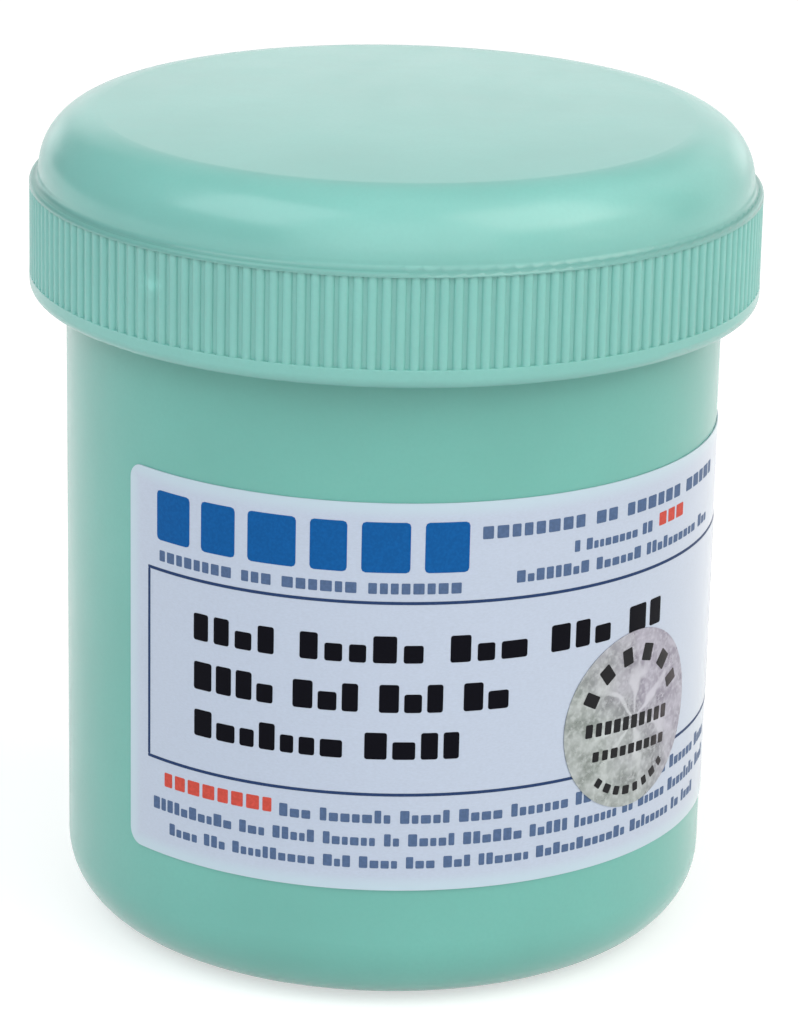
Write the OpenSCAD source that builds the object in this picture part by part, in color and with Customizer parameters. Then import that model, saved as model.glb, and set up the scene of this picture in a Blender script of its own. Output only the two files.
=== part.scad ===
// Screw-top flux jar: a straight-sided jar moulded in one piece, a ribbed screw cap with a wad in it,
// a wrap label with a round seal stuck over it, and the paste flux inside.
// Millimetres, +Z up. The origin is the centre of the foot ring, on the surface that the jar stands on.
// The middle of the front faces -Y, and angles round the jar are counted from there towards +X.

/* [Jar] */
// Outside diameter of the body at its shoulder
body_d = 54; // [48:0.5:60]
// How much smaller the body's radius is at the foot than at the shoulder
body_draft = 0.2; // [0:0.05:0.6]
// Height of the shoulder, where the body steps in to the neck
shoulder_z = 55; // [48:0.5:70]
// Radius of the curve round the bottom edge
base_round = 6; // [3:0.25:8]
// Thickness of the floor over the foot recess
floor_t = 1.8; // [1.2:0.1:4]
// Radius of the curve between the floor and the wall inside
floor_round = 4; // [2:0.25:6]
// Width of the flat ring that the jar stands on
foot_w = 1.6; // [1:0.1:4]
// Depth of the recess inside the foot ring
foot_recess = 0.8; // [0.3:0.1:1.5]
// Diameter of the moulding gate's dimple under the floor
gate_d = 3; // [2:0.25:6]
// Depth of the moulding gate's dimple
gate_depth = 0.3; // [0.1:0.05:0.6]

/* [Neck] */
// How far the neck stands in from the body, per side
neck_step = 0.8; // [0.4:0.1:1.4]
// Height of the neck above the shoulder
neck_h = 10.6; // [9.5:0.1:14]
// Wall of the neck
neck_wall = 1.8; // [1.4:0.1:2.6]
// How much smaller the bore's radius is at the floor than at the mouth
bore_draft = 0.3; // [0:0.05:0.8]
// Radius on the rim's outer edge
rim_round = 0.8; // [0.4:0.1:1]
// Radius on the rim's inner edge
mouth_round = 0.3; // [0.1:0.1:0.5]

/* [Thread] */
// Rise of the thread in one turn
thread_pitch = 4.2; // [3.8:0.1:5]
// Height of each thread ridge above its wall
thread_depth = 1.3; // [0.8:0.1:1.6]
// Width of a thread ridge at its root
thread_root_w = 2.6; // [1.8:0.1:2.8]
// Width of a thread ridge at its crest
thread_crest_w = 1; // [0.6:0.1:1.2]
// Radial gap between each crest and the wall that it faces
thread_clear = 0.3; // [0.2:0.05:0.5]
// Gap between the two flanks that draw the cap down, measured along the axis
flank_gap = 0.35; // [0.2:0.05:0.5]
// Plain neck between the shoulder and the neck's thread
thread_foot = 0.7; // [0.4:0.1:1]
// Plain neck between the neck's thread and the rim
thread_head = 1; // [0.8:0.1:1.4]
// Angle over which each end of a ridge fades into its wall
thread_fade = 30; // [15:5:60]

/* [Cap] */
// Wall of the cap behind the ribs
cap_wall = 1.9; // [1.2:0.05:3]
// Thickness of the cap's flat top
cap_top_t = 1.7; // [1.2:0.1:3]
// How far the skirt hangs below the jar's shoulder
skirt_drop = 1.6; // [0.5:0.1:3]
// Height of the dome above the ledge on the skirt
dome_h = 5.6; // [5:0.1:7]
// Radius of the dome's shoulder
dome_round = 4.9; // [4:0.1:5]
// Width of the ledge between the dome and the skirt's edge
ledge_w = 0.75; // [0.4:0.05:1.2]
// Radius on the ledge's outer edge
ledge_round = 0.3; // [0.1:0.05:0.35]
// Radius of the hollow corner where the ledge meets the dome
ledge_fillet = 0.4; // [0.1:0.05:0.5]
// Radius on the skirt's lower edge
skirt_round = 0.9; // [0.3:0.1:1.2]
// Radius of the corner inside, between the cap's ceiling and its wall
ceiling_round = 2.3; // [1.5:0.1:3]
// Bevel at the mouth of the cap's bore
mouth_bevel = 0.5; // [0.2:0.1:0.8]

/* [Ribs] */
// Number of ribs round the skirt
rib_count = 170; // [90:1:180]
// Depth of the grooves between the ribs
rib_depth = 0.3; // [0.2:0.01:0.4]
// Radius of the ribs' round backs
rib_round = 0.42; // [0.35:0.01:0.45]
// How far the ribs' crests stay below the plain band
rib_sink = 0.02; // [0.01:0.01:0.05]
// Height of the plain band below the ribs
band_h = 1.6; // [1.3:0.1:2.5]
// Height of the plain strip between the ribs and the ledge
strip_h = 0.4; // [0.4:0.05:1]

/* [Wad] */
// Thickness of the wad in the cap
liner_t = 1; // [0.6:0.1:2]
// Gap between the wad's edge and the cap's corner
liner_gap = 0.1; // [0.05:0.05:0.4]

/* [Flux] */
// Depth from the rim down to the paste's surface
headspace = 11; // [6:0.5:30]
// Height of the fillet where the paste clings to the wall
meniscus = 0.7; // [0.3:0.1:1.5]
// Gap between the paste and the jar
paste_gap = 0.05; // [0.02:0.01:0.1]

/* [Label] */
// Length of the label round the body
label_w = 67; // [40:0.5:130]
// Height of the label
label_h = 32.5; // [20:0.5:34]
// Height of the label's lower edge above the table
label_z = 10.9; // [9:0.1:13]
// Angle of the label's left edge from the front
label_left = -49.8; // [-90:0.2:0]
// Thickness of the label
label_t = 0.1; // [0.06:0.01:0.2]
// Radius of the label's corners
label_corner = 1.3; // [0.5:0.1:3]
// Gap between a stuck sheet and what it sticks to
stick_gap = 0.02; // [0.01:0.01:0.05]

/* [Seal] */
// Diameter of the round seal
seal_d = 15; // [10:0.5:20]
// Angle of the seal's centre from the front
seal_angle = 47.8; // [0:0.2:60]
// Height of the seal's centre above the table
seal_z = 22.8; // [21:0.1:30]
// Thickness of the seal
seal_t = 0.06; // [0.04:0.01:0.15]

/* [Hidden] */

$fn = 180;
// How far a cutting shape runs past the surface that it cuts
over = 1;

jar_green = [0.47, 0.74, 0.70];
cap_green = [0.52, 0.77, 0.73];
wad_white = [0.95, 0.95, 0.93];
flux_amber = [0.85, 0.62, 0.25];
paper_white = [0.85, 0.86, 0.92];
seal_silver = [0.75, 0.75, 0.76];

// Jar
body_r = body_d / 2;
body_foot_r = body_r - body_draft;
foot_r = body_foot_r - base_round;
floor_z = foot_recess + floor_t;
neck_r = body_r - neck_step;
rim_z = shoulder_z + neck_h;
mouth_r = neck_r - neck_wall;
bore_foot_r = mouth_r - bore_draft;
bore_foot_z = floor_z + floor_round;

// Thread: the neck's ridge starts at angle 0, and the cap's ridge lies just below it on the same helix
thread_bite = 0.3;
thread_step = 7.5;
flank_slope = (thread_root_w - thread_crest_w) / 2 / (thread_depth + thread_bite);
mesh_drop = thread_crest_w + flank_slope * (thread_depth - thread_clear) + flank_gap;
neck_thread_z = shoulder_z + thread_foot + thread_root_w / 2;
thread_rise = rim_z - thread_head - thread_root_w / 2 - neck_thread_z;
cap_thread_z = shoulder_z + thread_crest_w / 2 + flank_gap;
cap_thread_start = (cap_thread_z - neck_thread_z + mesh_drop) / thread_pitch * 360;

// Cap
cap_bore_r = neck_r + thread_depth + thread_clear;
cap_r = cap_bore_r + cap_wall + rib_depth;
cap_z = shoulder_z - skirt_drop;
ceiling_z = rim_z + liner_t;
top_z = ceiling_z + cap_top_t;
ledge_z = top_z - dome_h;
dome_r = cap_r - ledge_w;
rib_z = cap_z + band_h;
rib_h = ledge_z - strip_h - rib_z;
rib_axis_r = cap_r - rib_sink - rib_round;

// Wad and paste
liner_r = cap_bore_r - ceiling_round - liner_gap;
fill_z = rim_z - headspace;

// Label and seal
label_mid_r = body_r_at(label_z + label_h / 2);
label_sweep = label_w / label_mid_r * 180 / PI;

// Outside radius of the body at height z
function body_r_at(z) =
    body_foot_r + body_draft * (z - base_round) / (shoulder_z - neck_step - base_round);

// Radius of the bore at height z
function bore_r_at(z) =
    bore_foot_r + bore_draft * (z - bore_foot_z) / (rim_z - bore_foot_z);

// What a round of radius r takes off a square corner at the origin, for a corner that points along
// sx and sy, each 1 or -1
module corner_off(r, sx, sy) {
    translate([-sx * r, -sy * r]) difference() {
        translate([sx * (r + over) / 2, sy * (r + over) / 2]) square(r + over, center = true);
        circle(r = r);
    }
}

// A helical ridge on a wall of radius wall_r, standing out for side 1 and in for side -1.
// It starts at angle start and height z and climbs by rise.
module thread_ridge(wall_r, side, z, start, rise) {
    sweep = rise / thread_pitch * 360;
    steps = ceil(sweep / thread_step);
    fade = thread_fade / sweep * steps;
    points = [
        for (i = [0 : steps])
            let (
                a = start + sweep * i / steps,
                mid = z + rise * i / steps,
                stand = min(1, i / fade, (steps - i) / fade),
                root = wall_r - side * thread_bite,
                crest = wall_r + side * (stand * (thread_depth + thread_bite / 2) - thread_bite / 2)
            )
            each [
                [root * cos(a), root * sin(a), mid - thread_root_w / 2],
                [crest * cos(a), crest * sin(a), mid - thread_crest_w / 2],
                [crest * cos(a), crest * sin(a), mid + thread_crest_w / 2],
                [root * cos(a), root * sin(a), mid + thread_root_w / 2],
            ]
    ];
    walls = [
        for (i = [0 : steps - 1], k = [0 : 3])
            let (p = 4 * i + k, q = 4 * i + (k + 1) % 4)
            each [[p, q, p + 4], [q, q + 4, p + 4]]
    ];
    last = 4 * steps;
    ends = [[0, 2, 1], [0, 3, 2], [last, last + 1, last + 2], [last, last + 2, last + 3]];
    faces = concat(walls, ends);
    polyhedron(points, side > 0 ? faces : [for (f = faces) [f[0], f[2], f[1]]]);
}

// Half section of the space inside the jar, up to height top, drawn in by gap from the jar's walls
module bore_section(gap, top) {
    polygon([
        [0, floor_z + gap],
        [bore_foot_r - floor_round, floor_z + gap],
        [bore_foot_r - gap, bore_foot_z],
        [bore_r_at(top) - gap, top],
        [0, top],
    ]);
    translate([bore_foot_r - floor_round, bore_foot_z]) circle(r = floor_round - gap);
}

// Half section of the jar without its thread
module jar_section() {
    difference() {
        union() {
            polygon([
                [0, 0],
                [foot_r, 0],
                [body_foot_r, base_round],
                [body_r, shoulder_z - neck_step],
                [neck_r, shoulder_z],
                [neck_r, rim_z],
                [0, rim_z],
            ]);
            translate([foot_r, base_round]) circle(r = base_round);
            translate([neck_r, shoulder_z - neck_step]) circle(r = neck_step);
        }
        bore_section(0, rim_z + over);
        translate([0, -over]) square([foot_r - foot_w, foot_recess + over]);
        square([gate_d / 2, foot_recess + gate_depth]);
        translate([neck_r, rim_z]) corner_off(rim_round, 1, 1);
        translate([mouth_r, rim_z]) corner_off(mouth_round, -1, 1);
    }
}

module jar() {
    color(jar_green) {
        rotate_extrude() jar_section();
        thread_ridge(neck_r, 1, neck_thread_z, 0, thread_rise);
    }
}

// Half section of the cap as a solid block, with its dome, ledge and rounded edges
module cap_block_section() {
    polygon([
        [0, cap_z],
        [cap_r - skirt_round, cap_z],
        [cap_r, cap_z + skirt_round],
        [cap_r, ledge_z - ledge_round],
        [cap_r - ledge_round, ledge_z],
        [dome_r, ledge_z],
        [dome_r, top_z - dome_round],
        [dome_r - dome_round, top_z],
        [0, top_z],
    ]);
    translate([dome_r, ledge_z]) corner_off(min(ledge_fillet, ledge_w - ledge_round), -1, -1);
    translate([cap_r - skirt_round, cap_z + skirt_round]) circle(r = skirt_round);
    translate([cap_r - ledge_round, ledge_z - ledge_round]) circle(r = ledge_round);
    translate([dome_r - dome_round, top_z - dome_round]) circle(r = dome_round);
}

// Half section of the space inside the cap, with the bevel at its mouth
module cap_bore_section() {
    polygon([
        [0, cap_z - over],
        [cap_bore_r + mouth_bevel + over, cap_z - over],
        [cap_bore_r, cap_z + mouth_bevel],
        [cap_bore_r, ceiling_z - ceiling_round],
        [cap_bore_r - ceiling_round, ceiling_z],
        [0, ceiling_z],
    ]);
    translate([cap_bore_r - ceiling_round, ceiling_z - ceiling_round]) circle(r = ceiling_round);
}

// What is cut from the skirt between the band and the strip to leave the round-backed ribs
module rib_grooves() {
    translate([0, 0, rib_z]) linear_extrude(rib_h) difference() {
        circle(r = cap_r + over);
        circle(r = cap_r - rib_depth);
        for (i = [0 : rib_count - 1])
            rotate(i * 360 / rib_count) translate([rib_axis_r, 0]) circle(r = rib_round, $fn = 24);
    }
}

module cap() {
    color(cap_green) {
        difference() {
            rotate_extrude() cap_block_section();
            rotate_extrude() cap_bore_section();
            rib_grooves();
        }
        thread_ridge(cap_bore_r, -1, cap_thread_z, cap_thread_start, thread_rise);
    }
}

module cap_liner() {
    color(wad_white) translate([0, 0, rim_z]) cylinder(r = liner_r, h = liner_t);
}

module flux_paste() {
    color(flux_amber) rotate_extrude() intersection() {
        bore_section(paste_gap, fill_z + meniscus);
        union() {
            square([mouth_r, fill_z]);
            translate([bore_r_at(fill_z) - paste_gap, fill_z]) corner_off(meniscus, 1, -1);
        }
    }
}

// A sheet of thickness t that follows the body's wall between two heights, with its inner face off
// the wall by gap. It starts at angle start and runs round by sweep.
module wall_sheet(gap, t, low, high, start, sweep) {
    rotate([0, 0, start - 90]) rotate_extrude(angle = sweep) polygon([
        [body_r_at(low) + gap, low],
        [body_r_at(low) + gap + t, low],
        [body_r_at(high) + gap + t, high],
        [body_r_at(high) + gap, high],
    ]);
}

module label() {
    color(paper_white) difference() {
        wall_sheet(stick_gap, label_t, label_z, label_z + label_h, label_left, label_sweep);
        for (side = [-1, 1], end = [-1, 1])
            rotate([0, 0, label_left + label_sweep * (side + 1) / 2])
                translate([0, -body_r, label_z + label_h * (end + 1) / 2])
                    rotate([90, 0, 0])
                        linear_extrude(2 * over, center = true) corner_off(label_corner, side, end);
    }
}

module seal_sticker() {
    gap = 2 * stick_gap + label_t;
    reach = asin(seal_d / 2 / body_r) + over;
    color(seal_silver) intersection() {
        wall_sheet(gap, seal_t, seal_z - seal_d, seal_z + seal_d, seal_angle - reach, 2 * reach);
        rotate([0, 0, seal_angle]) translate([0, 0, seal_z]) rotate([90, 0, 0])
            cylinder(d = seal_d, h = 2 * body_r);
    }
}

jar();
cap();
cap_liner();
flux_paste();
label();
seal_sticker();
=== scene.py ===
"""Looks of a screw-top flux jar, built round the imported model.

Metres, +Z up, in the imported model's own frame. The middle of the jar's front faces -Y, and angles round
the jar are counted from there towards +X. What is printed on the label and the seal is plain blocks in rows.
"""

import math
import random

import bmesh
import bpy
from mathutils import Matrix, Vector


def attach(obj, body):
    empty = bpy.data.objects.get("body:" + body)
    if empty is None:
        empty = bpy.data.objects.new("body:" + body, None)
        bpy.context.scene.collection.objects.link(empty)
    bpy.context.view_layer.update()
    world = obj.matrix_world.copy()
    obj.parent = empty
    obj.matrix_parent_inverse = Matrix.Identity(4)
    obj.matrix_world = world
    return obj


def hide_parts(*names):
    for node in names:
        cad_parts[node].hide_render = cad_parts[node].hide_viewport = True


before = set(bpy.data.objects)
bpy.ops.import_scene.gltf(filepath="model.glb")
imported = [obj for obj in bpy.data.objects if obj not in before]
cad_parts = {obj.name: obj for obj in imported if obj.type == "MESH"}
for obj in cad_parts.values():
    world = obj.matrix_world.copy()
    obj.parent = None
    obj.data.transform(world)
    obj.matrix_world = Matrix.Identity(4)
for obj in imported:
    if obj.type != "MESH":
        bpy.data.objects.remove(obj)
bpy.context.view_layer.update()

MM = 0.001

# Points of a mesh this close in height count as level, and their heights are rounded to this many decimals
NEAR = 0.1 * MM
HEIGHT_DECIMALS = 7

# Camera, as the photograph was taken: sizes in pixels are those of its 799 x 1024 frame, and the sensor's
# side is in millimetres
IMAGE_W = 799
IMAGE_H = 1024
SENSOR = 36.0
FOCAL_PX = 4654.6
LENS_AXIS_PX = (389.0, 539.9)
CAMERA_DISTANCE = 390.5 * MM
CAMERA_ELEVATION = 18.4
CAMERA_ROLL = math.radians(1.218)
CAMERA_AIM = Vector((0, 0, 31.43 * MM))
CLIP_START = 0.01
CLIP_END = 100

# Even light from all sides, and grey cards beside and behind the jar, which only its gloss sees: azimuth and
# elevation of each card's middle, how far from there, in degrees, it is full and has faded out, and its tone
WORLD_LIGHT = 0.43
CARDS = ((-90, 20, 50, 75, 0.13), (90, 12, 14, 32, 0.3), (180, 50, 25, 36, 0.39))

# Square soft lamps: azimuth and elevation in degrees, distance and side in metres, power in watts, tint, and
# whether the jar's gloss shows the lamp
PLAIN = (1, 1, 1)
WARM = (1, 0.97, 0.9)
COOL = (0.93, 0.98, 1)
LAMPS = {
    "front": (0, 20, 1.6, 2.0, 11.5, PLAIN, True),
    "key": (60, 48, 1.3, 0.9, 6.4, WARM, True),
    "right": (75, 20, 1.4, 1.0, 3.3, WARM, True),
    "left": (-60, 50, 1.3, 0.9, 6.2, COOL, True),
    "back": (180, 12, 1.5, 1.6, 0.95, PLAIN, True),
    "back_left": (-152, 3, 1.5, 0.4, 0.3, PLAIN, True),
    "back_right": (152, 3, 1.5, 0.4, 0.3, PLAIN, True),
    "back_fill": (180, 4, 1.5, 0.5, 6.4, PLAIN, False),
}

# The floor: half its side, how far from the jar's axis it shows the shadow in full and where it has faded to
# pure white, the grey that lights the jar, and the grey and the glow that are seen
FLOOR_HALF = 6
FLOOR_NEAR = 250 * MM
FLOOR_FAR = 500 * MM
FLOOR_LIGHT = 0.65
FLOOR_SEEN = 0.6
FLOOR_GLOW = 0.55

# Thin plates: the longest side of a facet, how thick ink lies, and how far its back is sunk into the sheet.
# On every mesh, an edge that turns by more than CREASE stays sharp.
FACET = 0.5 * MM
INK_T = 0.012 * MM
INK_SUNK = 0.02 * MM
CREASE = math.radians(30)

# Steps in each corner of the label, in each corner of a printed block and in half of the seal's edge
LABEL_STEPS = 8
BLOCK_STEPS = 2
SEAL_STEPS = 48

# The label's corners, and the box printed on it: angles in degrees from the front, heights above the table
LABEL_CORNER = 1.3 * MM
BOX_LINE = 0.26 * MM
BOX_LEFT = -44.8
BOX_RIGHT = 86.0
BOX_LOW = 19.1 * MM
BOX_HIGH = 35.2 * MM

# Blocks in a row of the label: the seed of their random widths, and in shares of their mean width, the least
# and the greatest, the gap between two blocks, and what a space between words adds to the gap
LABEL_SEED = 7
BLOCK_WIDTHS = (0.75, 1.25)
BLOCK_GAP = 0.3
WORD_SPACE = 0.9

# Where a row isn't all capitals: the share of tall blocks after a word's first, and the height of the others
TALL_SHARE = 0.25
LOW_BLOCK = 0.66

# The radius of such a block's corners is the smaller of these shares, of its row's height and its own width
CORNER_OF_HEIGHT = 0.08
CORNER_OF_WIDTH = 0.2

# The seal's print, in millimetres and degrees about its centre, with the seed of its random widths. The
# blocks along its top and its foot: angles, radius, height and range of widths. The two rows across: how far
# up they are, the height of their blocks, where the first block is, and how many there are.
SEAL_SEED = 3
SEAL_ARCS = (
    ((-62, -36, -10, 16, 42, 68), 5.5, 1.45, (1.0, 1.35)),
    (range(142, 222, 11), 6.1, 0.75, (0.55, 0.8)),
)
SEAL_ROWS = ((-0.3, 1.15, -5.0, 10), (-2.6, 0.85, -4.1, 9))
SEAL_ROW_WIDTHS = (0.6, 0.8)
SEAL_PITCH = 1.02
SEAL_TILT = 3
SEAL_CORNER = 0.1

# The paste's surface: how far it climbs the wall, and the spiral that a spoon has left in it, with a peak in
# the middle whose width is a share of the radius
MENISCUS = 0.7 * MM
STIR_DEPTH = 0.6 * MM
STIR_TURNS = 2.5
PEAK_HEIGHT = 0.5 * MM
PEAK_WIDTH = 0.16

# The mesh of that surface: how many rings it has, the points in each, and the power that crowds the rings
# towards the wall
PASTE_RINGS = 60
PASTE_STEPS = 200
PASTE_CROWDING = 0.8

# Most of a noise lies between these two values
NOISE_LOW = 0.3
NOISE_HIGH = 0.7

# Moulded plastic: the size and the rise of its clouds and its grain, and the size of its patches of gloss
CLOUDS = 14 * MM
CLOUD_RISE = 0.02 * MM
GRAIN = 0.35 * MM
GRAIN_RISE = 0.002 * MM
GRAIN_STRENGTH = 0.25
GRAIN_DARKER = 0.92
GLOSS_PATCHES = 3 * MM

# The cap's top is very slightly domed. Along the line where the ribs end its colour holds painted shade, for
# the shade in the recess there
CROWN_RADIUS = 550 * MM
SHADE_LINE_Z = 62.55 * MM
SHADE_LINE_CORE = 0.1 * MM
SHADE_LINE_REACH = 0.55 * MM
SHADE_LINE_STRENGTH = 0.85
SHADE_LINE_DARKER = 0.7

# A small pale flaw in the cap's ribs: angle from the front, radius and height of its middle, then its reach
FLAW = (math.radians(-38.9), 29.9 * MM, 59.5 * MM)
FLAW_REACH = 1.35 * MM
FLAW_STRENGTH = 0.5
FLAW_PALER = 1.4
FLAW_RISE = 0.05 * MM

# The cells of the wad's foam
FOAM_CELL = 0.5 * MM

# The inks: their grain, how much paler the label's are where they are thin, and their range of roughness
INK_GRAIN = 0.25 * MM
INK_PALER = 1.25
INK_ROUGH = (0.3, 0.45)

# The seal's foil: how many rays of painted highlight it has and how far, in radians, they bend, and its play
# of green
# # and mauve: how much this follows the height, how wide it is, and its share of the colour
RAY_COUNT = 7
RAY_BEND = 1.2
TINT_SLANT = 0.6
TINT_WIDTH = 8 * MM
TINT_SHARE = 0.4

# Colours, in linear light
JAR_GREEN = (0.157, 0.465, 0.404)
# The cap's green is the jar's plastic made paler, partly painted sheen
CAP_GREEN_WITH_SHEEN = (0.216, 0.520, 0.472)
PAPER = (0.475, 0.545, 0.677)
PAPER_EDGE = (0.485, 0.615, 0.71)
INKS = {
    "blue": (0.007, 0.095, 0.310),
    "navy": (0.085, 0.135, 0.250),
    "line": (0.025, 0.050, 0.130),
    "black": (0.003, 0.003, 0.006),
    "red": (0.560, 0.080, 0.060),
}
FOAM = (0.83, 0.83, 0.80)
FOAM_PALE = (0.86, 0.86, 0.83)
FOAM_DARK = (0.76, 0.76, 0.72)
GEL = (0.55, 0.26, 0.04)
GEL_DARK = (0.50, 0.225, 0.03)
GEL_PALE = (0.60, 0.30, 0.055)
SEAL_BLACK = (0.012, 0.012, 0.014)
SEAL_WORN = (0.120, 0.100, 0.108)
FOIL = {
    "plain": (0.40, 0.41, 0.43),
    "dark": (0.145, 0.150, 0.158),
    "light": (0.41, 0.42, 0.445),
    # The rays' colour is a painted highlight
    "ray": (0.71, 0.73, 0.76),
    "fleck": (0.66, 0.68, 0.71),
    "green": (0.36, 0.42, 0.37),
    "mauve": (0.42, 0.36, 0.50),
}


class Row:
    """One row of the label's print, between two angles in degrees. words says how many blocks each word has.
    The base line's height above the table and the blocks' height are in millimetres."""

    def __init__(self, ink, left, right, base, height, words, capitals=False):
        self.ink = ink
        self.left = left
        self.right = right
        self.base = base * MM
        self.height = height * MM
        self.words = words
        self.capitals = capitals


ROWS = [
    Row("blue", -42.9, 13.5, 37.7, 4.15, (6,), capitals=True),
    Row("navy", -42.3, 12.3, 35.95, 0.9, (8, 3, 6, 8), capitals=True),
    Row("navy", 15.7, 75.0, 40.3, 1.05, (8, 2, 6, 5), capitals=True),
    Row("navy", 32.8, 51.0, 38.3, 0.95, (1, 8, 2)),
    Row("red", 53.0, 61.0, 38.5, 1.1, (3,), capitals=True),
    Row("navy", 21.9, 73.0, 36.45, 1.0, (8, 6, 10, 3)),
    Row("black", -34.6, 54.5, 30.2, 2.25, (4, 5, 3, 3, 2)),
    Row("black", -34.5, 21.1, 26.05, 2.35, (4, 3, 3, 2)),
    Row("black", -34.4, 12.6, 22.1, 2.25, (7, 4)),
    Row("red", -41.0, -19.3, 16.85, 1.2, (8,), capitals=True),
    Row("navy", -17.9, 80.0, 16.65, 1.1, (3, 7, 5, 4, 7, 8, 5, 6, 4)),
    Row("navy", -43.6, 80.0, 14.7, 1.05, (10, 3, 5, 6, 2, 5, 6, 5, 7, 2, 5, 8, 4)),
    Row("navy", -39.8, 72.0, 12.8, 1.0, (4, 3, 10, 3, 4, 3, 3, 6, 12, 8, 2, 4)),
]


def around(angle, r, z):
    """The point at an angle from the front, a radius and a height."""
    return Vector((r * math.sin(angle), -r * math.cos(angle), z))


def heading(azimuth, elevation):
    """The direction from the jar at an azimuth from the front and an elevation, both in degrees."""
    rise = math.radians(elevation)
    return around(math.radians(azimuth), math.cos(rise), math.sin(rise))


def polar(node):
    """Angle from the front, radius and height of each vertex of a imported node."""
    points = [v.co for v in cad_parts[node].data.vertices]
    return [(math.atan2(p.x, -p.y), math.hypot(p.x, p.y), p.z) for p in points]


class Wall:
    """The jar's outer wall behind a sheet that is stuck to it, measured on the sheet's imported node."""

    def __init__(self, node):
        points = polar(node)
        self.low = min(z for _, _, z in points)
        self.high = max(z for _, _, z in points)
        self.left = min(angle for angle, _, _ in points)
        self.right = max(angle for angle, _, _ in points)
        foot = [r for _, r, z in points if z < self.low + NEAR]
        head = [r for _, r, z in points if z > self.high - NEAR]
        self.foot_r = min(foot)
        self.slope = (min(head) - self.foot_r) / (self.high - self.low)
        self.thick = max(foot) - min(foot)
        self.radius = (self.foot_r + min(head)) / 2
        self.middle = (self.left + self.right) / 2
        self.centre = (self.low + self.high) / 2

    def at(self, angle, z, lift):
        """The point at an angle and height, lift off the sheet's inner face."""
        return around(angle, self.foot_r + self.slope * (z - self.low) + lift, z)


def add_plate(bm, place, columns, inner, outer):
    """Adds a closed thin plate to bm. columns lists (across, low, high), and place(across, up, lift) gives a
    point."""
    tallest = max(high - low for _, low, high in columns)
    rows = max(1, math.ceil(tallest / FACET))
    layers = []
    for lift in (inner, outer):
        layers.append([
            [bm.verts.new(place(across, low + (high - low) * j / rows, lift)) for j in range(rows + 1)]
            for across, low, high in columns
        ])
    back, face = layers
    last = len(columns) - 1
    for i in range(last):
        for j in range(rows):
            bm.faces.new((face[i][j], face[i + 1][j], face[i + 1][j + 1], face[i][j + 1]))
            bm.faces.new((back[i][j], back[i][j + 1], back[i + 1][j + 1], back[i + 1][j]))
        bm.faces.new((back[i][0], back[i + 1][0], face[i + 1][0], face[i][0]))
        bm.faces.new((face[i][rows], face[i + 1][rows], back[i + 1][rows], back[i][rows]))
    for j in range(rows):
        bm.faces.new((face[0][j], face[0][j + 1], back[0][j + 1], back[0][j]))
        bm.faces.new((back[last][j], back[last][j + 1], face[last][j + 1], face[last][j]))


def rounded(left, right, low, high, radius, corner_steps):
    """Columns of a rectangle with rounded corners."""
    corner = []
    for k in range(corner_steps + 1):
        turn = math.pi / 2 * k / corner_steps
        corner.append((radius * (1 - math.cos(turn)), radius * (1 - math.sin(turn))))
    start = [(left + across, low + inset, high - inset) for across, inset in corner]
    end = [(right - across, low + inset, high - inset) for across, inset in reversed(corner)]
    straight = right - left - 2 * radius
    count = max(1, math.ceil(straight / FACET))
    middle = [(left + radius + straight * k / count, low, high) for k in range(1, count)]
    return start + middle + end


def disc(radius, steps):
    """Columns of a disc about the origin."""
    turns = [math.pi * (k + 0.5) / steps for k in range(steps)]
    return [(-radius * math.cos(turn), -radius * math.sin(turn), radius * math.sin(turn)) for turn in turns]


def finish_mesh(name, bm, material):
    """Turns bm into an object with smooth faces and sharp corners."""
    bmesh.ops.recalc_face_normals(bm, faces=bm.faces)
    mesh = bpy.data.meshes.new(name)
    bm.to_mesh(mesh)
    bm.free()
    mesh.shade_smooth()
    mesh.set_sharp_from_angle(angle=CREASE)
    mesh.materials.append(material)
    piece = bpy.data.objects.new(name, mesh)
    bpy.context.scene.collection.objects.link(piece)
    return piece


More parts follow.
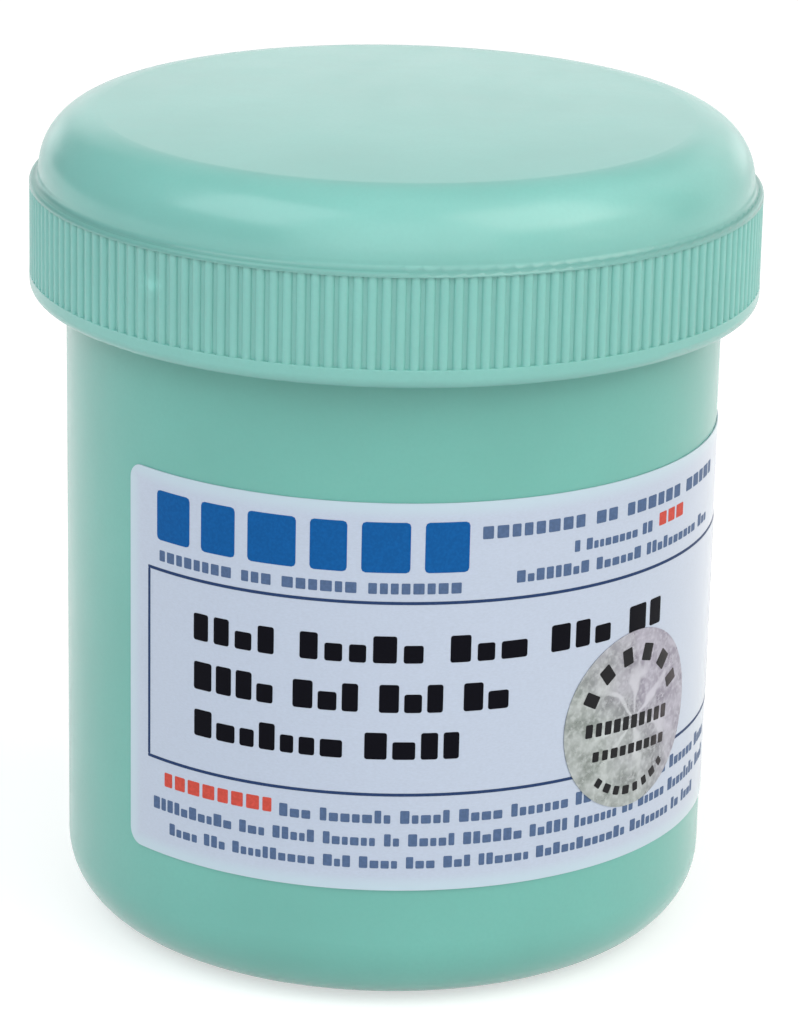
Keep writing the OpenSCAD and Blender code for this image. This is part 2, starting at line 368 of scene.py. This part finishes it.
class Nodes:
    """Short helpers that add nodes to one node tree."""

    def __init__(self, tree):
        self.tree = tree

    def link(self, value, socket):
        """Sets a socket to a number or colour, or links it to an output."""
        if isinstance(value, bpy.types.NodeSocket):
            self.tree.links.new(value, socket)
        else:
            socket.default_value = value

    def math(self, operation, first, second=0.0):
        """An operation on one or two numbers."""
        node = self.tree.nodes.new("ShaderNodeMath")
        node.operation = operation
        self.link(first, node.inputs[0])
        self.link(second, node.inputs[1])
        return node.outputs[0]

    def vector(self, operation, first, second):
        """An operation on two vectors, which gives a vector or a number."""
        node = self.tree.nodes.new("ShaderNodeVectorMath")
        node.operation = operation
        self.link(first, node.inputs[0])
        self.link(second, node.inputs[1])
        return node.outputs["Vector" if operation in ("SUBTRACT", "MULTIPLY") else "Value"]

    def ramp(self, value, low, high, to_low=0.0, to_high=1.0, smooth=False):
        """value taken from low..high to to_low..to_high, and held there beyond both ends."""
        node = self.tree.nodes.new("ShaderNodeMapRange")
        node.interpolation_type = "SMOOTHSTEP" if smooth else "LINEAR"
        for socket, number in zip(("Value", "From Min", "From Max", "To Min", "To Max"),
                                  (value, low, high, to_low, to_high)):
            self.link(number, node.inputs[socket])
        return node.outputs["Result"]

    def mix(self, share, first, second):
        """Two colours mixed by share."""
        node = self.tree.nodes.new("ShaderNodeMix")
        node.data_type = "RGBA"
        self.link(share, node.inputs["Factor"])
        ends = [socket for socket in node.inputs if socket.type == "RGBA"]
        for colour, socket in zip((first, second), ends):
            self.link(colour if isinstance(colour, bpy.types.NodeSocket) else (*colour, 1), socket)
        return next(socket for socket in node.outputs if socket.type == "RGBA")

    def mix_shaders(self, share, first, second):
        """Two shaders mixed by share."""
        node = self.tree.nodes.new("ShaderNodeMixShader")
        self.link(share, node.inputs["Fac"])
        self.link(first, node.inputs[1])
        self.link(second, node.inputs[2])
        return node.outputs[0]

    def seen_directly(self):
        """1 for what is seen by itself, in a gloss or through a clear part, 0 for light on the object."""
        path = self.tree.nodes.new("ShaderNodeLightPath")
        plain_or_gloss = self.math("MAXIMUM", path.outputs["Is Camera Ray"], path.outputs["Is Glossy Ray"])
        return self.math("MAXIMUM", plain_or_gloss, path.outputs["Is Transmission Ray"])


class Shader(Nodes):
    """A node material on one Principled shader, with helpers for the nodes that the materials share."""

    def __init__(self, name, colour, roughness, **settings):
        self.material = bpy.data.materials.new(name)
        self.material.use_nodes = True
        super().__init__(self.material.node_tree)
        self.bsdf = self.tree.nodes["Principled BSDF"]
        self.bsdf.inputs["Base Color"].default_value = (*colour, 1)
        self.bsdf.inputs["Roughness"].default_value = roughness
        for socket, value in settings.items():
            self.bsdf.inputs[socket.replace("_", " ")].default_value = value
        coordinates = self.tree.nodes.new("ShaderNodeTexCoord")
        self.place = coordinates.outputs["Object"]

    def noise(self, size, detail=2.0, stretch=(1, 1, 1)):
        """Noise between 0 and 1 whose features are about size metres wide."""
        mapping = self.tree.nodes.new("ShaderNodeMapping")
        mapping.inputs["Scale"].default_value = stretch
        self.link(self.place, mapping.inputs["Vector"])
        node = self.tree.nodes.new("ShaderNodeTexNoise")
        node.inputs["Scale"].default_value = 1 / size
        node.inputs["Detail"].default_value = detail
        self.link(mapping.outputs[0], node.inputs["Vector"])
        return node.outputs["Fac"]

    def spread(self, noise, low=0.0, high=1.0):
        """A noise spread over low..high."""
        return self.ramp(noise, NOISE_LOW, NOISE_HIGH, low, high)

    def varied(self, noise, colour, darkest, palest):
        """A colour that varies with a noise between two shades of it."""
        return self.mix(self.spread(noise), shade(colour, darkest), shade(colour, palest))

    def near(self, point, radius):
        """1 at a point of the object, falling to 0 at a ragged edge about radius away."""
        ragged = self.math("MULTIPLY", self.noise(radius / 2), radius)
        away = self.math("ADD", self.vector("DISTANCE", self.place, point), ragged)
        return self.ramp(away, radius / 2, 1.5 * radius, 1, 0, smooth=True)

    def from_middle(self, wall):
        """Distances sideways and up from the middle of a sheet on a wall."""
        offset = self.vector("SUBTRACT", self.place, wall.at(wall.middle, wall.centre, 0))
        sideways = self.vector("DOT_PRODUCT", offset, (math.cos(wall.middle), math.sin(wall.middle), 0))
        return sideways, self.vector("DOT_PRODUCT", offset, (0, 0, 1))

    def height(self):
        """Height above the table."""
        return self.vector("DOT_PRODUCT", self.place, (0, 0, 1))

    def axis_distance_squared(self):
        """Square of the distance from the jar's axis."""
        flat = self.vector("MULTIPLY", self.place, (1, 1, 0))
        return self.vector("DOT_PRODUCT", flat, self.place)

    def colour(self, value):
        """Sets the colour."""
        self.link(value, self.bsdf.inputs["Base Color"])

    def rough(self, noise, least, most):
        """Lets the roughness vary with a noise."""
        self.link(self.spread(noise, least, most), self.bsdf.inputs["Roughness"])

    def bump(self, height, distance, under=None):
        """Raises the surface by height times distance, on top of an earlier bump."""
        node = self.tree.nodes.new("ShaderNodeBump")
        node.inputs["Distance"].default_value = distance
        self.link(height, node.inputs["Height"])
        if under is not None:
            self.link(under, node.inputs["Normal"])
        self.link(node.outputs["Normal"], self.bsdf.inputs["Normal"])
        return node.outputs["Normal"]


def shade(colour, factor):
    """A colour made darker or paler."""
    return tuple(min(1.0, c * factor) for c in colour)


def grey(tone):
    """A grey as Blender's colour sockets take it."""
    return (tone, tone, tone, 1)


def plastic(name, colour, is_cap=False):
    """Satin moulded polypropylene: cloudy colour, fine grain and faint flow waves. The cap has painted shade
    along the line where its ribs end, the flaw and the slight dome as well."""
    look = Shader(name, colour, roughness=0.22, IOR=1.49, Sheen_Weight=0.1, Sheen_Roughness=0.4,
                  Subsurface_Weight=0.3, Subsurface_Scale=1.2 * MM, Subsurface_Radius=(0.7, 1.2, 1.1))
    clouds = look.noise(CLOUDS, detail=3)
    grain = look.noise(GRAIN)
    cloudy = look.varied(clouds, colour, darkest=0.96, palest=1.04)
    specks = look.ramp(grain, low=0.35, high=0.75, to_high=GRAIN_STRENGTH)
    tone = look.mix(specks, cloudy, shade(colour, GRAIN_DARKER))
    if is_cap:
        # Painted shade: the cap's colour is darker in a band at the height where the ribs end, for the shade
        # in the recess there
        from_shade_line = look.math("ABSOLUTE", look.math("SUBTRACT", look.height(), SHADE_LINE_Z))
        line = look.ramp(from_shade_line, SHADE_LINE_CORE, SHADE_LINE_REACH, SHADE_LINE_STRENGTH, to_high=0, smooth=True)
        tone = look.mix(line, tone, shade(colour, SHADE_LINE_DARKER))
        spot = look.near(around(*FLAW), FLAW_REACH)
        tone = look.mix(look.math("MULTIPLY", spot, FLAW_STRENGTH), tone, shade(colour, FLAW_PALER))
    look.colour(tone)
    look.rough(look.noise(GLOSS_PATCHES, detail=3), least=0.2, most=0.25)
    waves = look.bump(clouds, CLOUD_RISE)
    fine = look.bump(grain, GRAIN_RISE, waves)
    if is_cap:
        flawed = look.bump(spot, FLAW_RISE, fine)
        look.bump(look.math("MULTIPLY", look.axis_distance_squared(), -1), 1 / (2 * CROWN_RADIUS), flawed)
    return look.material


def foam():
    """White expanded foam with small closed cells."""
    look = Shader("wad_foam", FOAM, roughness=0.8)
    cells = look.tree.nodes.new("ShaderNodeTexVoronoi")
    cells.inputs["Scale"].default_value = 1 / FOAM_CELL
    look.link(look.place, cells.inputs["Vector"])
    from_cell = cells.outputs["Distance"]
    look.colour(look.mix(look.ramp(from_cell, low=0.1, high=0.7), FOAM_PALE, FOAM_DARK))
    look.bump(from_cell, 0.03 * MM)
    return look.material


def gel():
    """Amber paste with a wet skin."""
    look = Shader("flux_gel", GEL, roughness=0.12, Subsurface_Weight=0.2, Subsurface_Scale=1 * MM)
    streaks = look.noise(7 * MM, detail=3)
    look.colour(look.mix(look.spread(streaks), GEL_DARK, GEL_PALE))
    look.rough(streaks, least=0.1, most=0.16)
    look.bump(look.noise(2.5 * MM), 0.04 * MM)
    return look.material


def paper(wall):
    """Laminated label stock: fine fibres under a clear film, and a paler rim."""
    look = Shader("label_paper", PAPER, roughness=0.38, Coat_Weight=0.9, Coat_Roughness=0.18)
    axes = look.tree.nodes.new("ShaderNodeSeparateXYZ")
    look.link(look.place, axes.inputs[0])
    angle = look.math("ARCTAN2", axes.outputs["X"], look.math("MULTIPLY", axes.outputs["Y"], -1))
    sideways = look.math("MULTIPLY", angle, wall.radius)
    from_left = look.math("SUBTRACT", sideways, wall.left * wall.radius)
    from_right = look.math("SUBTRACT", wall.right * wall.radius, sideways)
    from_low = look.math("SUBTRACT", axes.outputs["Z"], wall.low)
    from_high = look.math("SUBTRACT", wall.high, axes.outputs["Z"])
    across = look.math("MINIMUM", from_left, from_right)
    inside = look.math("MINIMUM", across, look.math("MINIMUM", from_low, from_high))
    fibres = look.noise(0.3 * MM, detail=4, stretch=(1, 1, 2.5))
    stock = look.varied(fibres, PAPER, darkest=0.955, palest=1.03)
    look.colour(look.mix(look.ramp(inside, low=0.2 * MM, high=1.5 * MM, smooth=True), PAPER_EDGE, stock))
    look.rough(fibres, least=0.33, most=0.43)
    look.bump(fibres, 0.004 * MM)
    return look.material


def ink(name, colour):
    """Printing ink, a little thin in places."""
    look = Shader(f"ink_{name}", colour, roughness=0.4, Specular_IOR_Level=0.05)
    thin = look.noise(INK_GRAIN, detail=3)
    look.colour(look.mix(look.ramp(thin, low=0.4, high=0.8), colour, shade(colour, INK_PALER)))
    look.rough(thin, *INK_ROUGH)
    return look.material


def seal_ink(wall):
    """The seal's black, worn to a brownish grey towards its right."""
    look = Shader("ink_seal", SEAL_BLACK, roughness=0.4, Specular_IOR_Level=0.1)
    sideways, _ = look.from_middle(wall)
    worn = look.math("ADD", sideways, look.math("MULTIPLY", look.noise(1.2 * MM, detail=3), 6 * MM))
    look.colour(look.mix(look.ramp(worn, low=5 * MM, high=12 * MM), SEAL_BLACK, SEAL_WORN))
    look.rough(look.noise(INK_GRAIN, detail=3), *INK_ROUGH)
    return look.material


def foil(wall):
    """Silvery film: mottle, crinkles, pale rays of painted highlight from its middle, and a play of green
    and mauve.
    """
    look = Shader("seal_foil", FOIL["plain"], roughness=0.32, Metallic=0.5)
    sideways, up = look.from_middle(wall)
    turn = look.math("ARCTAN2", up, sideways)
    bent = look.math("ADD", turn, look.math("MULTIPLY", look.noise(3 * MM), RAY_BEND))
    rays = look.math("SINE", look.math("MULTIPLY", bent, RAY_COUNT))
    from_centre = look.vector("DISTANCE", look.place, wall.at(wall.middle, wall.centre, 0))
    strong = look.ramp(from_centre, low=3 * MM, high=6.5 * MM, to_low=0.75, to_high=0.2)
    mottle = look.noise(1.9 * MM, detail=4)
    fine = look.noise(0.4 * MM, detail=3)
    tone = look.mix(look.ramp(mottle, low=0.40, high=0.62), FOIL["dark"], FOIL["light"])
    # Painted highlight: pale rays from the seal's middle, strongest near it
    rayed = look.mix(look.ramp(rays, low=0.3, high=1.0, to_high=strong, smooth=True), tone, FOIL["ray"])
    flecked = look.mix(look.ramp(fine, low=0.46, high=0.66, to_high=0.5), rayed, FOIL["fleck"])
    slant = look.math("ADD", sideways, look.math("MULTIPLY", up, TINT_SLANT))
    wandering = look.math("ADD", slant, look.math("MULTIPLY", look.noise(4 * MM), TINT_WIDTH))
    tint = look.mix(look.ramp(wandering, low=0, high=TINT_WIDTH), FOIL["green"], FOIL["mauve"])
    look.colour(look.mix(TINT_SHARE, flecked, tint))
    look.rough(mottle, least=0.24, most=0.42)
    crinkles = look.bump(mottle, 0.06 * MM)
    look.bump(fine, 0.015 * MM, crinkles)
    return look.material


def make_label(wall, material):
    """The label: one thin sheet with rounded corners."""
    bm = bmesh.new()
    width = (wall.right - wall.left) * wall.radius

    def place(across, up, lift):
        return wall.at(wall.left + across / wall.radius, wall.low + up, lift)

    columns = rounded(0, width, 0, wall.high - wall.low, LABEL_CORNER, LABEL_STEPS)
    add_plate(bm, place, columns, 0, wall.thick)
    return finish_mesh("label_sheet", bm, material)


def block_ends(row, draw):
    """Left and right ends of each block in a row, as shares of the row, with its height as a share."""
    blocks = []
    at = 0.0
    for count in row.words:
        for k in range(count):
            width = draw.uniform(*BLOCK_WIDTHS)
            tall = row.capitals or k == 0 or draw.random() < TALL_SHARE
            blocks.append((at, at + width, 1.0 if tall else LOW_BLOCK))
            at += width + BLOCK_GAP
        at += WORD_SPACE
    total = at - WORD_SPACE - BLOCK_GAP
    return [(start / total, end / total, tall) for start, end, tall in blocks]


def print_label(wall, materials):
    """The label's print, one piece for each ink."""
    meshes = {name: bmesh.new() for name in materials}
    draw = random.Random(LABEL_SEED)
    top = wall.thick + INK_T
    back = wall.thick - INK_SUNK

    def place(across, up, lift):
        return wall.at(across / wall.radius, up, lift)

    def box(name, left, right, low, high, radius):
        add_plate(meshes[name], place, rounded(left, right, low, high, radius, BLOCK_STEPS), back, top)

    def along(degrees):
        return math.radians(degrees) * wall.radius

    for row in ROWS:
        left, width = along(row.left), along(row.right) - along(row.left)
        for start, end, tall in block_ends(row, draw):
            block_left, block_right = left + width * start, left + width * end
            radius = min(CORNER_OF_HEIGHT * row.height, CORNER_OF_WIDTH * (block_right - block_left))
            box(row.ink, block_left, block_right, row.base, row.base + row.height * tall, radius)
    half = BOX_LINE / 2
    left, right = along(BOX_LEFT), along(BOX_RIGHT)
    for z in (BOX_LOW, BOX_HIGH):
        box("line", left - half, right + half, z - half, z + half, half / 2)
    for x in (left, right):
        box("line", x - half, x + half, BOX_LOW + half, BOX_HIGH - half, half / 2)
    return [finish_mesh(f"print_{name}", bm, materials[name]) for name, bm in meshes.items()]


def make_seal(wall, material):
    """The round seal stuck over the label."""
    bm = bmesh.new()

    def place(across, up, lift):
        return wall.at(wall.middle + across / wall.radius, wall.centre + up, lift)

    add_plate(bm, place, disc((wall.high - wall.low) / 2, SEAL_STEPS), 0, wall.thick)
    return finish_mesh("seal_disc", bm, material)


def print_seal(wall, material):
    """Dark blocks on the seal: an arc along its top, two rows across, and small marks along its foot."""
    bm = bmesh.new()
    draw = random.Random(SEAL_SEED)
    top = wall.thick + INK_T
    back = wall.thick - INK_SUNK

    def add(turn, x, y, width, height):
        """One block, in millimetres, turned about the seal's centre. x, y is its middle before the turn."""

        def place(across, up, lift):
            sideways = across * math.cos(turn) + up * math.sin(turn)
            upwards = up * math.cos(turn) - across * math.sin(turn)
            return wall.at(wall.middle + sideways / wall.radius, wall.centre + upwards, lift)

        sides = [at * MM for at in (x - width / 2, x + width / 2, y - height / 2, y + height / 2)]
        add_plate(bm, place, rounded(*sides, SEAL_CORNER * MM, BLOCK_STEPS), back, top)

    for angles, radius, height, widths in SEAL_ARCS:
        for degrees in angles:
            add(math.radians(degrees), 0, radius, draw.uniform(*widths), height)
    for middle, height, left, count in SEAL_ROWS:
        for k in range(count):
            x = left + SEAL_PITCH * k
            add(math.radians(SEAL_TILT), x, middle, draw.uniform(*SEAL_ROW_WIDTHS), height)
    return finish_mesh("seal_print", bm, material)


def make_paste(material):
    """The paste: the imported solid's own foot and side, with a stirred skin on top."""
    reach = {}
    for _, r, z in polar("flux_paste"):
        height = round(z, HEIGHT_DECIMALS)
        reach[height] = max(r, reach.get(height, 0))
    high = max(reach)
    level = high - MENISCUS
    side = [(r, z) for z, r in sorted(reach.items()) if z < level - NEAR or z == high]
    rim = side[-1][0]

    def skin(r, angle):
        """Height of the surface. It clings to the wall, and the spiral dies away there and in the middle."""
        from_wall = min(rim - r, MENISCUS)
        cling = MENISCUS - math.sqrt(MENISCUS ** 2 - (MENISCUS - from_wall) ** 2)
        share = r / rim
        calm = (1 - share ** 6) * min(1, 3 * share)
        swept = 1 - 2 * abs(math.sin(angle / 2 + STIR_TURNS * math.pi * share))
        peak = PEAK_HEIGHT * math.exp(-(share / PEAK_WIDTH) ** 2)
        return level + cling + STIR_DEPTH * calm * swept + peak

    turns = [2 * math.pi * i / PASTE_STEPS for i in range(PASTE_STEPS)]
    loops = [[around(turn, r, z) for turn in turns] for r, z in side]
    for k in range(1, PASTE_RINGS):
        r = rim * (1 - k / PASTE_RINGS) ** PASTE_CROWDING
        loops.append([around(turn, r, skin(r, turn)) for turn in turns])
    bm = bmesh.new()
    rings = [[bm.verts.new(point) for point in loop] for loop in loops]
    foot = bm.verts.new((0, 0, side[0][1]))
    middle = bm.verts.new((0, 0, skin(0, 0)))
    for i in range(PASTE_STEPS):
        j = (i + 1) % PASTE_STEPS
        for lower, upper in zip(rings, rings[1:]):
            bm.faces.new((lower[i], lower[j], upper[j], upper[i]))
        bm.faces.new((rings[0][j], rings[0][i], foot))
        bm.faces.new((rings[-1][i], rings[-1][j], middle))
    return finish_mesh("paste_fill", bm, material)


def add_camera():
    """The camera, where the photograph was taken from."""
    data = bpy.data.cameras.new("camera")
    data.sensor_fit = "AUTO"
    data.sensor_width = SENSOR
    data.lens = FOCAL_PX / IMAGE_H * SENSOR
    data.shift_x = (IMAGE_W / 2 - LENS_AXIS_PX[0]) / IMAGE_H
    data.shift_y = (LENS_AXIS_PX[1] - IMAGE_H / 2) / IMAGE_H
    data.clip_start = CLIP_START
    data.clip_end = CLIP_END
    camera = bpy.data.objects.new("camera", data)
    back = heading(0, CAMERA_ELEVATION)
    turn = (-back).to_track_quat("-Z", "Y").to_matrix() @ Matrix.Rotation(CAMERA_ROLL, 3, "Z")
    camera.matrix_world = Matrix.Translation(CAMERA_AIM + back * CAMERA_DISTANCE) @ turn.to_4x4()
    bpy.context.scene.collection.objects.link(camera)
    bpy.context.scene.camera = camera


def add_lamp(name, azimuth, elevation, distance, size, power, tint, in_gloss):
    """A square soft lamp that faces the jar."""
    data = bpy.data.lights.new(name, "AREA")
    data.size = size
    data.energy = power
    data.color = tint
    lamp = bpy.data.objects.new(name, data)
    back = heading(azimuth, elevation)
    turn = (-back).to_track_quat("-Z", "Y").to_matrix().to_4x4()
    lamp.matrix_world = Matrix.Translation(CAMERA_AIM + back * distance) @ turn
    lamp.visible_glossy = in_gloss
    bpy.context.scene.collection.objects.link(lamp)


def add_world():
    """Even white light on the object, on a pure white background. The gloss sees the cards in it."""
    world = bpy.data.worlds.new("studio")
    world.use_nodes = True
    nodes = Nodes(world.node_tree)
    towards = nodes.tree.nodes.new("ShaderNodeTexCoord").outputs["Generated"]

    # White, or the tone of the darkest card in a direction
    studio = 1.0
    for azimuth, elevation, full, faded, tone in CARDS:
        facing = nodes.vector("DOT_PRODUCT", towards, heading(azimuth, elevation))
        edge, inside = math.cos(math.radians(faded)), math.cos(math.radians(full))
        studio = nodes.math("MINIMUM", nodes.ramp(facing, edge, inside, 1, tone, smooth=True), studio)
    gloss = nodes.tree.nodes.new("ShaderNodeLightPath").outputs["Is Glossy Ray"]
    bright = nodes.ramp(gloss, 0, 1, to_low=1, to_high=studio)
    background = nodes.tree.nodes["Background"]
    background.inputs["Color"].default_value = grey(1)
    strength = nodes.ramp(nodes.seen_directly(), 0, 1, to_low=WORLD_LIGHT, to_high=bright)
    nodes.link(strength, background.inputs["Strength"])
    bpy.context.scene.world = world


def add_floor():
    """A wide pale floor, seen white, with the jar's shadow on it near the jar."""
    bm = bmesh.new()
    bmesh.ops.create_grid(bm, x_segments=1, y_segments=1, size=FLOOR_HALF)
    mesh = bpy.data.meshes.new("floor")
    bm.to_mesh(mesh)
    bm.free()
    material = bpy.data.materials.new("floor_white")
    material.use_nodes = True
    nodes = Nodes(material.node_tree)
    nodes.tree.nodes.clear()
    out = nodes.tree.nodes.new("ShaderNodeOutputMaterial")
    plain = nodes.tree.nodes.new("ShaderNodeBsdfDiffuse")
    plain.inputs["Color"].default_value = grey(FLOOR_LIGHT)
    seen = nodes.tree.nodes.new("ShaderNodeBsdfDiffuse")
    seen.inputs["Color"].default_value = grey(FLOOR_SEEN)
    glow = nodes.tree.nodes.new("ShaderNodeEmission")
    glow.inputs["Strength"].default_value = FLOOR_GLOW
    both = nodes.tree.nodes.new("ShaderNodeAddShader")
    nodes.link(seen.outputs[0], both.inputs[0])
    nodes.link(glow.outputs[0], both.inputs[1])
    white = nodes.tree.nodes.new("ShaderNodeEmission")
    place = nodes.tree.nodes.new("ShaderNodeTexCoord").outputs["Object"]
    away = nodes.vector("DISTANCE", place, (0, 0, 0))
    shown = nodes.mix_shaders(nodes.ramp(away, FLOOR_NEAR, FLOOR_FAR), both.outputs[0], white.outputs[0])
    surface = nodes.mix_shaders(nodes.seen_directly(), plain.outputs[0], shown)
    nodes.link(surface, out.inputs["Surface"])
    mesh.materials.append(material)
    floor = bpy.data.objects.new("floor", mesh)
    bpy.context.scene.collection.objects.link(floor)


def dress(node, material):
    """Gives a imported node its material."""
    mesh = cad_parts[node].data
    mesh.materials.clear()
    mesh.materials.append(material)


# Camera, background and light
bpy.context.scene.view_settings.view_transform = "Standard"
add_camera()
add_world()
add_floor()
for lamp_name, lamp in LAMPS.items():
    add_lamp(lamp_name, *lamp)

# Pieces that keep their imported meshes
dress("jar", plastic("jar_plastic", JAR_GREEN))
# The cap's colour holds painted sheen, and painted shade along the line where its ribs end
dress("cap", plastic("cap_plastic", CAP_GREEN_WITH_SHEEN, is_cap=True))
dress("cap_liner", foam())

# New meshes, which ride on the jar
paste = make_paste(gel())
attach(paste, "jar")
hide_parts("flux_paste")

label_wall = Wall("label")
label = make_label(label_wall, paper(label_wall))
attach(label, "jar")
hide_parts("label")
for piece in print_label(label_wall, {name: ink(name, colour) for name, colour in INKS.items()}):
    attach(piece, "jar")

seal_wall = Wall("seal_sticker")
seal = make_seal(seal_wall, foil(seal_wall))
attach(seal, "jar")
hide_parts("seal_sticker")
marks = print_seal(seal_wall, seal_ink(seal_wall))
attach(marks, "jar")
